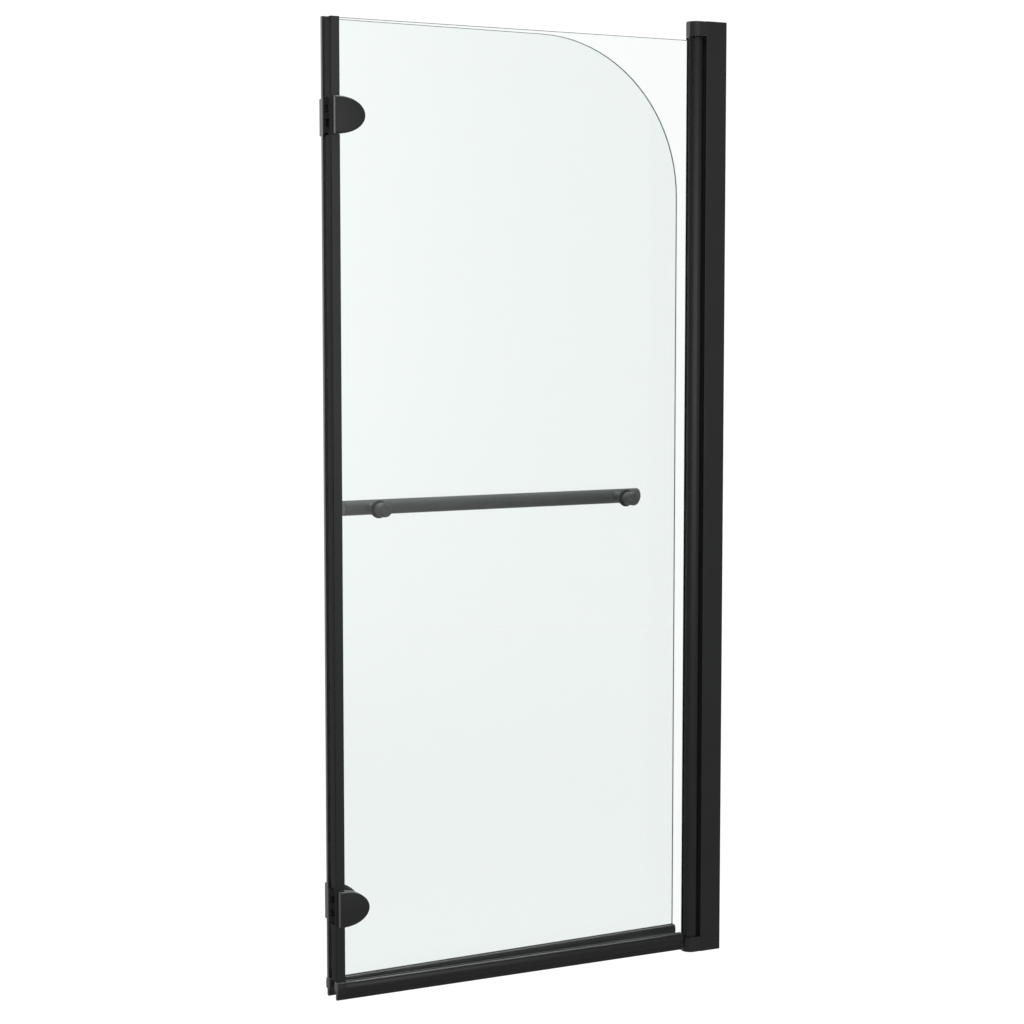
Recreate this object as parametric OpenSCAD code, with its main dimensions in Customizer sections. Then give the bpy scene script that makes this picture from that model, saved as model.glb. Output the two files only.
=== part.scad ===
// Folding bath screen: two glass panels on a wall profile, joined by two fold hinges.
// The wall face is the plane X = 0, the screen reaches towards -X, and Z = 0 is the foot of the
// wall profile. Sizes are in millimetres. At rest the outer panel is folded back beside the inner one.

/* [Overall] */
// Height of the wall profile
height = 1400; // [1000:10:1800]
// Width of the outer panel, from its fold edge to the free edge of its glass
outer_w = 575; // [420:5:800]
// Distance from the wall face to that free edge when the panels are folded parallel
fold_clear = 45; // [42:1:120]
// Distance between the mid-planes of the folded panes
pane_gap = 32; // [28:0.5:45]
// Angle between the panes at rest, in degrees
rest_open = 2.2; // [0:0.1:30]
// Angle that the folded panels can swing towards the outer panel's side, in degrees
swing_in = 45; // [10:1:60]

/* [Glass] */
// Thickness of both panes
glass_t = 5; // [4:0.5:8]
// Height of the panes' bottom edge above the foot of the wall profile
glass_foot = 18.5; // [18:0.1:19.5]
// Distance from the top cap down to the top of the inner pane
glass_gap = 5.5; // [1.5:0.5:60]
// How far the top of the outer pane stands above the top of the inner one
outer_rise = 2; // [0:0.1:4]
// Radius of the outer pane's top free corner
corner_r = 230; // [20:5:300]
// Chamfer along the free edges
glass_chamfer = 0.6; // [0.2:0.1:1]

/* [Wall profile] */
// Width of the wall profile
profile_w = 28; // [26:0.5:36]
// Depth of the wall channel from the wall face
channel_d = 34; // [32:1:50]
// Thickness of the channel's base
base_t = 2; // [1.5:0.1:3]
// Thickness of the channel's legs
leg_t = 1.8; // [1.2:0.1:2.2]
// Clearance between the wall channel and the slide channel
slide_fit = 0.3; // [0.1:0.1:0.5]
// Thickness of the slide channel's legs
slide_t = 1.6; // [1.2:0.1:2]
// Thickness of the slide channel's web
web_t = 2; // [1.5:0.1:3]
// Distance from the wall face to the slide channel's back edges
slide_back = 6; // [4:1:14]
// Diameter of the wall holes
wall_hole_d = 5.5; // [4:0.5:7]
// Distance of the end wall holes from the ends of the channel
wall_hole_end = 100; // [40:10:200]
// Distance of the end channel screws from the ends of the channel
lock_end = 150; // [60:10:250]

/* [End caps] */
// Height of the top cap
top_cap_h = 22; // [20:0.5:40]
// Height of the bottom cap
bottom_cap_h = 22.5; // [20:0.5:40]
// Chamfer along the caps' outer edges
cap_chamfer = 1; // [0.5:0.1:2]
// Distance of the flat on the caps' front from the pivot axis
cap_flat = 13; // [12.5:0.1:13.5]
// Radius of the cap screws' shanks
cap_screw_r = 1.5; // [1:0.1:2]
// Length of the cap screws' shanks
cap_screw_l = 24; // [12:1:40]

/* [Wall pivot] */
// Radius of the pivot tube
tube_r = 12; // [11:0.5:12.5]
// Wall thickness of the pivot tube
tube_wall = 1.6; // [1.2:0.1:2]
// How far the pivot tube sits inside the mouth of the channel
tube_inset = 1; // [0:0.1:1.5]
// Gap between the pivot tube and the slide channel's web
tube_gap = 0.8; // [0.5:0.1:1.5]
// Reach of the clamp nose from the pivot axis
nose_reach = 13.5; // [13:0.1:13.9]
// Thickness of the clamp nose's walls
nose_wall = 1.7; // [1.2:0.1:2.2]
// Thickness of the gasket round the glass in the nose
gasket_t = 1; // [0.5:0.1:1.5]
// Radius of the pivot pins
pin_r = 3; // [2.5:0.1:3.4]
// Depth of the pivot pins in the caps
pin_seat = 12; // [8:1:18]
// Depth of the pivot pins in the bushes
pin_reach = 14; // [8:1:20]
// Running clearance of a pin in its bush, on the radius
run_fit = 0.05; // [0.02:0.01:0.08]
// Radius of the pivot bushes
bush_r = 4.5; // [4.2:0.1:4.8]
// Thickness of the bushes' flanges
flange_t = 1; // [0.8:0.1:1.5]
// End play between a bush flange and its cap
end_play = 0.15; // [0.05:0.05:0.3]

/* [Edge channels] */
// Width of the channels along the fold edges
edge_w = 12.5; // [10:0.5:18]
// Thickness of their side walls
edge_wall = 1; // [0.8:0.1:1.5]
// Thickness of their web
edge_web = 1.2; // [1:0.1:2]
// How far the inner one stands above its pane
inner_edge_over = 1; // [0:0.1:4]
// How far the outer one stands above its pane
outer_edge_over = 2.5; // [0:0.1:4]
// Thickness of the soft lip on the inner one's end
lip_t = 0.5; // [0.3:0.05:0.5]

/* [Bottom rails] */
// Greatest width of the rails
rail_w = 15; // [14.5:0.5:16]
// Radius of the rails' rounded sides
rail_r = 18.75; // [17:0.25:22]
// Height of the rails' top edge above the foot of the wall profile
rail_top = 29; // [28.5:0.5:32]
// Height at which the rails are widest
rail_belly = 20.5; // [19.5:0.5:21.5]
// Height of the rails' lower edge
rail_foot = 12.5; // [11.5:0.5:13]
// Height of the drip seals' lower edge
lip_foot = 3; // [2.5:0.5:6]
// Width of the drip seals below the rails
skirt_w = 6; // [4:0.5:8]
// How much lower the outer panel's rail sits than the inner one's
outer_drop = 2.4; // [0:0.1:2.5]
// Wall thickness of the rails
rail_wall = 1.3; // [1:0.1:1.6]
// Thickness of the end plugs beyond the rails
plug_t = 2.5; // [2:0.1:4]
// Length of the plugs' pegs in the rails
peg_l = 9; // [5:1:15]
// Clearance between the end cap and the rail as the panel swings
swing_fit = 0.8; // [0.5:0.1:3]

/* [Fold hinges] */
// Height of the lower hinge's centre
hinge_low = 136; // [70:1:300]
// Distance of the upper hinge's centre below the top of the wall profile
hinge_drop = 160; // [90:1:300]
// Height of the hinges
hinge_h = 51; // [46:1:64]
// Length of the hinge covers
cover_l = 44; // [40:1:60]
// Length of the straight part of the covers
cover_straight = 5; // [4.5:0.5:10]
// Depth of the covers from the glass
cover_d = 13; // [11:0.5:16]
// Wall thickness of the covers
cover_wall = 2; // [1.5:0.1:2.5]
// Rounding of the covers' rim
cover_rim = 2.4; // [2.1:0.1:4]
// Distance of the covers from the fold edge
cover_back = 2; // [1.5:0.1:4]
// Thickness of the pads between hinge and glass
pad_t = 0.8; // [0.5:0.1:1.5]
// Thickness of the hinge leaves
leaf_t = 4; // [3:0.1:4.5]
// How far the leaves' outline lies inside the covers'
leaf_inset = 2; // [1:0.1:3]
// Radius of the hinge knuckles
knuckle_r = 4; // [3.5:0.1:4.5]
// Radius of the hinge pins
hinge_pin_r = 2; // [1.5:0.1:2.4]
// Thickness of the hinge washers
washer_t = 0.8; // [0.5:0.1:1.2]
// Distance of the fold axis beyond the fold edges
fold_set = 0.75; // [0.5:0.05:2]
// Distance of the hinge screws from the fold edge
hinge_screw_a = 22; // [18:1:26]
// Distance between the two screws of a hinge
hinge_screw_pitch = 22; // [18:1:28]
// Radius of the hinge screws
hinge_screw_r = 2; // [1.5:0.1:2.3]
// Radius of the hinge holes in the glass
hinge_hole_r = 5; // [4.6:0.1:6]

/* [Towel bar] */
// Height of the bar's axis
bar_z = 693.2; // [400:0.1:900]
// Distance of the bar's axis from the outer pane's mid-plane
bar_out = 40; // [32:1:60]
// Radius of the bar
bar_r = 10.8; // [8:0.1:12.5]
// Wall thickness of the bar
bar_wall = 1.2; // [1:0.1:2]
// Distance from the fold edge to the bar
bar_near = 42.5; // [20:0.5:90]
// Distance from the bar to the free edge of the glass
bar_far = 43.5; // [20:0.5:90]
// Distance of the posts' centres from the ends of the bar
post_inset = 41; // [25:0.5:90]
// Radius of the posts' feet
post_foot_r = 13; // [11:0.5:18]
// Thickness of the posts' feet at the rim
post_rim = 1.5; // [1:0.1:3]
// Radius of the posts' necks
post_neck_r = 7.6; // [5:0.1:7.8]
// Height of the posts' flare
post_flare = 17; // [10:1:20]
// Thickness of the gasket rings at the glass
ring_t = 0.8; // [0.5:0.1:1.5]
// Radius of the studs
stud_r = 3; // [2:0.1:3.4]
// Radius of the knobs
knob_r = 9.8; // [9:0.1:14]
// Length of the knobs
knob_l = 19.2; // [12:0.1:20]
// Rounding of the knobs' front edge
knob_rim = 2.5; // [1:0.1:4]
// Radius of the stud holes in the glass
stud_hole_r = 4.2; // [3.8:0.1:5]

/* [Hidden] */
$fn = 72;
fine_fn = 180;

// Finishes
frame_black = "#2c2d2f";
cap_black = "#343538";
soft_black = "#1d1d1f";
clear_grey = "#9aa3a3";
steel = "#b4b7ba";
pane_green = [0.80, 0.91, 0.89, 0.35];

// Small allowances used throughout
cut = 1;           // how far a cut runs past the face it opens
thread_fit = 0.02; // a screw or pin in the part that grips it
hole_fit = 0.35;   // a screw in the part that it passes through
snug_fit = 0.1;    // a plug or peg in its socket, a screw in a hole that guides it
glass_play = 0.2;  // a pane's edge or notch beside metal

// Places along X, as distances from the wall face
pivot_d = channel_d + tube_r - tube_inset;
slide_front = pivot_d - tube_r - tube_gap;

// The outer rail's end passes the side of the profile as the folded panels swing in
cap_r = profile_w / 2;
pass_y = (pane_gap - rail_w / 2) * cos(swing_in) - cap_r - swing_fit;
pass_clear = pivot_d + plug_t - pass_y / sin(swing_in);
fold_d = outer_w + max(fold_clear, pass_clear);

// Caps
cap_floor = 4;
cap_wall = 2;
cap_head_h = 2.4;
cap_head_r = cap_screw_r + cap_head_h;

// Heights
top_cap_z = height - top_cap_h;
pivot_z0 = bottom_cap_h + end_play + flange_t;
pivot_z1 = top_cap_z - end_play - flange_t;
glass_top = top_cap_z - glass_gap;
outer_top = glass_top + outer_rise;
outer_foot = glass_foot - outer_drop;
hinge_zs = [hinge_low, height - hinge_drop];
wall_hole_zs = [wall_hole_end, height / 2, height - wall_hole_end];
lock_zs = [lock_end, height / 2, height - lock_end];

// Wall profile
slide_half = cap_r - leg_t - slide_fit;
port_r = 3.4;
port_in_web = 0.4; // how far the screw ports run into the web
port_in_leg = 0.1; // and into the legs
port_bore_r = cap_screw_r + snug_fit;
port_x = slide_front - web_t - port_r + port_in_web;
port_y = slide_half - slide_t - port_r + port_in_leg;
lock_x = 16;
lock_point = 2; // how far the screws pass beyond the slide channel's leg
lock_r = 1.75;
lock_head_r = 3.5;
lock_head_h = 2.2;
head_rim = 0.6;
head_bevel = 0.8;
lip_fit = 0.3;
lip_y = 5.75;
lip_w = 3.5;
lip_depth = 4;
lip_key = 1;
lip_key_fit = 0.05;

// Clamp nose, measured from the pivot axis
glass_half = glass_t / 2;
slot_half = glass_half + gasket_t;
nose_half = slot_half + nose_wall;
bush_ring_t = 1.3;
bush_ring_r = bush_r + bush_ring_t;
flange_rim = 1.5;
flange_r = bush_ring_r + flange_rim;
nose_corner = 1;
rib_t = 1.4;
rib_root = 0.5; // how far the ribs run into the ring round the bush
gasket_proud = 0.3;

// Fold axis
axis_x = -fold_d - fold_set;
axis_y = pane_gap / 2;

// Panels, measured from the fold edge
glass_in = edge_web + glass_play;
inner_glass_end = fold_d - pivot_d - bush_ring_r - gasket_t;
inner_rail_end = fold_d - pivot_d - cap_r - swing_fit - plug_t;
rail_lean = rail_r - rail_w / 2;
notch_z = max(rail_top, pivot_z0) + glass_play;
seal_end_gap = 0.5;
seal_neck = 1.1;
seal_head = 2;
seal_neck_h = 1.6;
seal_head_h = 2;
lip_taper = 1;
lip_end_gap = 0.5; // between the soft lip and the plug below it
chamber_foot = rail_foot + 5;
fin_reach = axis_y - lip_t;
fin_r = 1.5 * lip_t;
fin_near = glass_half + edge_wall + snug_fit;

// Hinges
pad_face = glass_half + pad_t;
cover_face = glass_half + cover_d;
nose_a = cover_back + cover_straight;
window_fit = 0.3;
window_h = hinge_h + 2 * window_fit;
knuckle_play = 0.1;
knuckle_space = washer_t + 2 * knuckle_play;
knuckles = 5;
knuckle_stack = hinge_h - 2 * leaf_inset;
knuckle_h = (knuckle_stack - (knuckles - 1) * knuckle_space) / knuckles;
pin_head_r = 3.4;
pin_head_h = 1.5;
boss_fit = 0.6;
boss_r = hinge_hole_r - boss_fit;
screw_head_r = 2 * hinge_screw_r;
screw_tip = 8;
cover_bevel = 1;
cavity_rim = 1;
leaf_rim = 0.8;
pad_rim = 0.2;
lug_fit = 0.3;
lug_sink = 1.2;
inner_levels = [0, 2, 4];
outer_levels = [1, 3];
pin_bevel = 0.6;

// Towel bar, measured from the fold edge
bar_a0 = bar_near;
bar_a1 = outer_w - bar_far;
post_as = [bar_a0 + post_inset, bar_a1 - post_inset];
bar_plug_t = 1.5;
bar_plug_l = 10;
bar_plug_wall = 2;
bar_bevel = 0.5;
foot_inset = 0.6;
stud_far = 2; // how far the studs pass beyond the bar's axis
insert_l = 18;
ring_face = glass_half + ring_t;
stud_in = 14;
flare_r = (pow(post_foot_r - post_neck_r, 2) + pow(post_flare, 2)) / (2 * (post_foot_r - post_neck_r));

// Panel frames: X runs from the fold edge along the pane, Y leads away from the other pane
module inner_frame() translate([-fold_d, 0, 0]) mirror([0, 1, 0]) children();

module outer_frame()
    translate([axis_x, axis_y, 0])
        rotate([0, 0, rest_open])
            translate([fold_set, axis_y, 0])
                children();

// The outer panel's frame, lowered as its rail is
module lowered() outer_frame() translate([0, 0, -outer_drop]) children();

// A flat outline in Y and Z, carried from a0 to a1 along the pane
module along(a0, a1)
    translate([a0, 0, 0])
        rotate([90, 0, 90])
            linear_extrude(a1 - a0)
                children();

// Turns a shape built along Z so that it points away from the other pane
module facing_out(a, z)
    translate([a, 0, z])
        rotate([-90, 0, 0])
            children();

// Turns a shape built along Z so that it points into the gap between the panes
module facing_gap(a, z)
    translate([a, 0, z])
        rotate([90, 0, 0])
            children();

module ring(outer, inner, h) {
    difference() {
        cylinder(h = h, r = outer);
        translate([0, 0, -cut])
            cylinder(h = h + 2 * cut, r = inner);
    }
}

// ---- Wall profile ----

module channel_outline() {
    leg_l = channel_d - leg_t / 2;
    translate([-base_t, -cap_r])
        square([base_t, profile_w]);
    for (side = [-1, 1]) {
        translate([-leg_l, side * (cap_r - leg_t / 2) - leg_t / 2])
            square([leg_l, leg_t]);
        translate([-leg_l, side * (cap_r - leg_t / 2)])
            circle(r = leg_t / 2);
    }
}

// Round head, its seat at Z = 0 and its bevelled top at Z = h
module screw_head(r, h) {
    cylinder(h = h - head_rim, r = r);
    translate([0, 0, h - head_rim])
        cylinder(h = head_rim, r1 = r, r2 = r - head_bevel);
}

module wall_channel() color(frame_black) {
    difference() {
        linear_extrude(height)
            channel_outline();
        for (z = wall_hole_zs)
            translate([-base_t - cut, 0, z])
                rotate([0, 90, 0])
                    cylinder(h = base_t + 2 * cut, d = wall_hole_d);
        for (z = lock_zs)
            translate([-lock_x, cap_r - leg_t - cut, z])
                rotate([-90, 0, 0])
                    cylinder(h = leg_t + 2 * cut, r = lock_r + hole_fit);
    }
}

module lip_key_outline(fit) {
    for (side = [-1, 1])
        translate([-slide_front, side * lip_y - lip_key + fit])
            square([lip_key - fit, 2 * (lip_key - fit)]);
}

module slide_outline() {
    difference() {
        union() {
            translate([-slide_front, -slide_half])
                square([web_t, 2 * slide_half]);
            for (side = [-1, 1]) {
                translate([-slide_front, side * (slide_half - slide_t / 2) - slide_t / 2])
                    square([slide_front - slide_back, slide_t]);
                translate([-port_x, side * port_y])
                    circle(r = port_r);
            }
        }
        for (side = [-1, 1])
            translate([-port_x, side * port_y])
                circle(r = port_bore_r);
        lip_key_outline(0);
    }
}

module slide_channel() color(frame_black) {
    difference() {
        translate([0, 0, bottom_cap_h])
            linear_extrude(top_cap_z - bottom_cap_h)
                slide_outline();
        for (z = lock_zs)
            translate([-lock_x, slide_half - slide_t - cut, z])
                rotate([-90, 0, 0])
                    cylinder(h = slide_t + 2 * cut, r = lock_r + thread_fit);
    }
}

module channel_screws() color(steel) {
    shank = leg_t + slide_fit + slide_t + lock_point;
    for (z = lock_zs)
        translate([-lock_x, cap_r, z])
            rotate([90, 0, 0]) {
                cylinder(h = shank, r = lock_r);
                mirror([0, 0, 1])
                    screw_head(lock_head_r, lock_head_h);
            }
}

// Soft lips in keyways of the slide channel's web, curved to the pivot tube
module pivot_seals() color(soft_black) {
    translate([0, 0, bottom_cap_h + end_play])
        linear_extrude(top_cap_z - bottom_cap_h - 2 * end_play) {
            difference() {
                for (side = [-1, 1])
                    translate([-slide_front - lip_depth, side * lip_y - lip_w / 2])
                        square([lip_depth, lip_w]);
                translate([-pivot_d, 0])
                    circle(r = tube_r + lip_fit);
            }
            lip_key_outline(lip_key_fit);
        }
}

// ---- End caps ----

// One cap, its inner face at Z = 0 and its outer face at Z = h
module end_cap(h) {
    body_end = channel_d + snug_fit;
    pocket_half = slide_half - cap_wall;
    difference() {
        union() {
            intersection() {
                union() {
                    translate([-pivot_d, 0, 0])
                        cylinder(h = h - cap_chamfer, r = cap_r);
                    translate([-pivot_d, 0, h - cap_chamfer])
                        cylinder(h = cap_chamfer, r1 = cap_r, r2 = cap_r - cap_chamfer);
                    along(-pivot_d, -body_end)
                        polygon([
                            [-cap_r, 0], [cap_r, 0],
                            [cap_r, h - cap_chamfer], [cap_r - cap_chamfer, h],
                            [-cap_r + cap_chamfer, h], [-cap_r, h - cap_chamfer]
                        ]);
                }
                translate([-pivot_d - cap_flat, -profile_w, -cut])
                    cube([pivot_d, 2 * profile_w, h + 2 * cut]);
            }
            translate([-body_end - cut, -slide_half, 0])
                cube([body_end + cut - base_t - snug_fit, 2 * slide_half, h]);
        }
        translate([-pivot_d, 0, -cut])
            cylinder(h = pin_seat + cut, r = pin_r + thread_fit);
        for (side = [-1, 1])
            translate([-port_x, side * port_y, 0]) {
                translate([0, 0, -cut])
                    cylinder(h = h, r = cap_screw_r + hole_fit);
                translate([0, 0, cap_floor])
                    cylinder(h = h, r = cap_head_r + hole_fit);
            }
        translate([-port_x + 2 * port_r, -pocket_half, -cut])
            cube([port_x - 2 * port_r - base_t - 2 * cap_wall, 2 * pocket_half, h - cap_floor + cut]);
    }
}

module top_cap() color(cap_black)
    translate([0, 0, top_cap_z])
        end_cap(top_cap_h);

module bottom_cap() color(cap_black)
    translate([0, 0, bottom_cap_h])
        mirror([0, 0, 1])
            end_cap(bottom_cap_h);

// One cap screw, its head's seat at Z = 0 and its shank below
module cap_screw() {
    translate([0, 0, -cap_screw_l])
        cylinder(h = cap_screw_l, r = cap_screw_r);
    screw_head(cap_head_r, cap_head_h);
}

module cap_screws() color(steel) {
    for (side = [-1, 1])
        translate([-port_x, side * port_y, 0]) {
            translate([0, 0, top_cap_z + cap_floor])
                cap_screw();
            translate([0, 0, bottom_cap_h - cap_floor])
                mirror([0, 0, 1])
                    cap_screw();
        }
}

module pivot_pin() translate([0, 0, -pin_reach]) cylinder(h = pin_reach + pin_seat, r = pin_r);

module pivot_pins() color(steel)
    translate([-pivot_d, 0, 0]) {
        translate([0, 0, top_cap_z])
            pivot_pin();
        translate([0, 0, bottom_cap_h])
            mirror([0, 0, 1])
                pivot_pin();
    }

// ---- Pivot profile ----

// Section about the pivot axis, the nose towards -X
module pivot_outline() {
    difference() {
        union() {
            difference() {
                circle(r = tube_r);
                circle(r = tube_r - tube_wall);
            }
            circle(r = bush_ring_r);
            for (turn = [-60, 0, 60])
                rotate(turn)
                    translate([bush_ring_r - rib_root, -rib_t / 2])
                        square([tube_r - tube_wall / 2 - bush_ring_r + rib_root, rib_t]);
            translate([-nose_reach + nose_corner, -nose_half])
                square([nose_reach - nose_corner - bush_ring_r / 2, 2 * nose_half]);
            translate([-nose_reach, -nose_half + nose_corner])
                square([nose_corner, 2 * (nose_half - nose_corner)]);
            for (side = [-1, 1])
                translate([-nose_reach + nose_corner, side * (nose_half - nose_corner)])
                    circle(r = nose_corner);
        }
        circle(r = bush_r);
        translate([-nose_reach - cut, -slot_half])
            square([nose_reach + cut - bush_ring_r, 2 * slot_half]);
    }
}

module pivot_profile() color(frame_black)
    translate([-pivot_d, 0, pivot_z0])
        linear_extrude(pivot_z1 - pivot_z0)
            pivot_outline();

// One flanged bush: the flange's outer face at Z = 0, the sleeve below
module pivot_bush() {
    sleeve = pin_reach - end_play - flange_t;
    difference() {
        union() {
            translate([0, 0, -flange_t])
                cylinder(h = flange_t, r = flange_r);
            translate([0, 0, -flange_t - sleeve])
                cylinder(h = sleeve + flange_t / 2, r = bush_r - thread_fit);
        }
        translate([0, 0, -flange_t - sleeve - cut])
            cylinder(h = sleeve + flange_t + 2 * cut, r = pin_r + run_fit);
    }
}

module pivot_bushes() color(clear_grey)
    translate([-pivot_d, 0, 0]) {
        translate([0, 0, pivot_z1 + flange_t])
            pivot_bush();
        translate([0, 0, pivot_z0 - flange_t])
            mirror([0, 0, 1])
                pivot_bush();
    }

module pivot_gasket() color(soft_black)
    translate([-pivot_d, 0, pivot_z0])
        linear_extrude(glass_top - pivot_z0)
            difference() {
                translate([-nose_reach - gasket_proud, -slot_half])
                    square([nose_reach + gasket_proud - bush_ring_r, 2 * slot_half]);
                translate([-nose_reach - gasket_proud - cut, -glass_half])
                    square([nose_reach + gasket_proud + cut - bush_ring_r - gasket_t, glass_t]);
            }

// ---- Glass ----

// Section of a pane's edge from -depth to 0, the free edge chamfered at 0
module edge_profile(depth) {
    polygon([
        [-depth, -glass_half], [-glass_chamfer, -glass_half], [0, -glass_half + glass_chamfer],
        [0, glass_half - glass_chamfer], [-glass_chamfer, glass_half], [-depth, glass_half]
    ]);
}

// A pane from a0 to a1 and from foot to top, its straight top edge chamfered
module pane(a0, a1, foot, top)
    along(a0, a1)
        translate([0, top])
            rotate(90)
                edge_profile(top - foot);

module hinge_glass_holes() {
    for (z = hinge_zs)
        for (side = [-1, 1])
            facing_out(hinge_screw_a, z + side * hinge_screw_pitch / 2)
                translate([0, 0, -glass_t])
                    cylinder(h = 2 * glass_t, r = hinge_hole_r);
}

module inner_glass() color(pane_green) inner_frame()
    difference() {
        pane(glass_in, inner_glass_end, glass_foot, glass_top);
        hinge_glass_holes();
        translate([inner_rail_end, -glass_t, 0])
            cube([pivot_d, 2 * glass_t, notch_z]);
    }

module outer_glass() color(pane_green) outer_frame()
    difference() {
        union() {
            pane(glass_in, outer_w - corner_r, outer_foot, outer_top);
            translate([0, 0, outer_foot])
                linear_extrude(outer_top - corner_r - outer_foot)
                    translate([outer_w, 0])
                        edge_profile(corner_r + cut);
            translate([outer_w - corner_r, 0, outer_top - corner_r])
                rotate([90, 0, 0])
                    rotate_extrude(angle = 90, $fn = fine_fn)
                        translate([corner_r, 0])
                            edge_profile(corner_r);
        }
        hinge_glass_holes();
        for (a = post_as)
            facing_out(a, bar_z)
                translate([0, 0, -glass_t])
                    cylinder(h = 2 * glass_t, r = stud_hole_r);
    }

// ---- Edge channels ----

module edge_outline() {
    half = glass_half + edge_wall;
    difference() {
        union() {
            translate([edge_wall, -half])
                square([edge_w - edge_wall, 2 * half]);
            translate([0, -half + edge_wall])
                square([edge_wall, 2 * (half - edge_wall)]);
            for (side = [-1, 1])
                translate([edge_wall, side * (half - edge_wall)])
                    circle(r = edge_wall);
        }
        translate([edge_web, -glass_half])
            square([edge_w, glass_t]);
    }
}

// Its side walls stop short at each hinge, which sits on the glass
module edge_channel(foot, top) {
    difference() {
        translate([0, 0, foot])
            linear_extrude(top - foot)
                edge_outline();
        for (z = hinge_zs)
            translate([cover_back, -glass_t, z - window_h / 2])
                cube([edge_w, 2 * glass_t, window_h]);
    }
}

module inner_edge_channel() color(frame_black) inner_frame()
    edge_channel(rail_top, glass_top + inner_edge_over);

module outer_edge_channel() color(frame_black) outer_frame()
    edge_channel(rail_top - outer_drop, outer_top + outer_edge_over);

// Soft lip on the inner channel's end; its fin reaches into the fold and stops at the hinges
module fold_seal() color(soft_black) inner_frame()
    difference() {
        translate([0, 0, rail_top + lip_end_gap])
            linear_extrude(glass_top + inner_edge_over - rail_top - lip_end_gap) {
                translate([-lip_t, -fin_reach])
                    square([lip_t, fin_reach + glass_half]);
                translate([-lip_t, -fin_reach])
                    square([2 * fin_r, fin_reach - fin_near]);
                translate([-lip_t + fin_r, -fin_reach])
                    circle(r = fin_r);
            }
        for (z = hinge_zs)
            translate([-edge_w, -pane_gap, z - window_h / 2])
                cube([2 * edge_w, 2 * pane_gap, window_h]);
    }

// ---- Bottom rails ----

// The lens shape between two arcs of radius r
module lens(r) {
    intersection() {
        translate([-rail_lean, rail_belly])
            circle(r = r);
        translate([rail_lean, rail_belly])
            circle(r = r);
        translate([-rail_w, rail_foot])
            square([2 * rail_w, rail_top - rail_foot]);
    }
}

module rail_chambers(fit) {
    wall = rail_wall + fit;
    for (side = [-1, 1])
        intersection() {
            lens(rail_r - wall);
            translate([side * (glass_half + wall + rail_w / 2) - rail_w / 2, chamber_foot + fit])
                square([rail_w, rail_top - chamber_foot - wall - fit]);
        }
}

module seal_groove() {
    translate([-seal_neck, rail_foot - cut])
        square([2 * seal_neck, seal_neck_h + 2 * cut]);
    translate([-seal_head, rail_foot + seal_neck_h])
        square([2 * seal_head, seal_head_h]);
}

module glass_slot() {
    translate([-glass_half, glass_foot])
        square([glass_t, rail_top]);
}

module rail(end)
    along(edge_w, end)
        difference() {
            lens(rail_r);
            glass_slot();
            rail_chambers(0);
            seal_groove();
        }

module rail_pegs(a0, a1) along(a0, a1) rail_chambers(snug_fit);

// The plug under the edge channel and the plug at the rail's other end
module rail_plugs(end) {
    difference() {
        along(0, edge_w)
            difference() {
                lens(rail_r);
                seal_groove();
            }
        along(glass_in, edge_w + cut)
            glass_slot();
    }
    rail_pegs(edge_w - cut, edge_w + peg_l);
    along(end, end + plug_t)
        difference() {
            lens(rail_r);
            seal_groove();
        }
    rail_pegs(end - peg_l, end + cut);
}

module drip_seal(end)
    along(seal_end_gap, end + plug_t - seal_end_gap) {
        translate([-seal_neck + snug_fit, rail_foot - snug_fit])
            square([2 * (seal_neck - snug_fit), seal_neck_h + 3 * snug_fit]);
        translate([-seal_head + snug_fit, rail_foot + seal_neck_h + snug_fit])
            square([2 * (seal_head - snug_fit), seal_head_h - 2 * snug_fit]);
        polygon([
            [-skirt_w / 2, rail_foot], [-skirt_w / 2, lip_foot + lip_taper],
            [-skirt_w / 2 + lip_taper, lip_foot], [skirt_w / 2 - lip_taper, lip_foot],
            [skirt_w / 2, lip_foot + lip_taper], [skirt_w / 2, rail_foot]
        ]);
    }

module inner_rail() color(frame_black) inner_frame() rail(inner_rail_end);
module inner_rail_plugs() color(cap_black) inner_frame() rail_plugs(inner_rail_end);
module inner_drip_seal() color(soft_black) inner_frame() drip_seal(inner_rail_end);
module outer_rail() color(frame_black) lowered() rail(outer_w);
module outer_rail_plugs() color(cap_black) lowered() rail_plugs(outer_w);
module outer_drip_seal() color(soft_black) lowered() drip_seal(outer_w);

// ---- Fold hinges ----

// Half section of a plate with a rounded front edge
module rim_outline(half, depth, rim) {
    square([half - rim, depth]);
    square([half, depth - rim]);
    translate([half - rim, depth - rim])
        circle(r = rim);
}

// D-shaped plate from b0 to b1 beside the pane: straight at the fold edge, half an ellipse beyond
module d_plate(z, inset, b0, b1, rim) {
    half = hinge_h / 2 - inset;
    reach = cover_l - cover_straight - inset;
    straight = cover_straight - inset;
    translate([nose_a, b0, z])
        rotate([-90, 0, 0]) {
            scale([reach / half, 1, 1])
                rotate([0, 0, -90])
                    rotate_extrude(angle = 180)
                        rim_outline(half, b1 - b0, rim);
            along(-straight, 0) {
                rim_outline(half, b1 - b0, rim);
                mirror([1, 0])
                    rim_outline(half, b1 - b0, rim);
            }
        }
}

module at_hinge_screws(z)
    for (side = [-1, 1])
        facing_out(hinge_screw_a, z + side * hinge_screw_pitch / 2)
            children();

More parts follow.
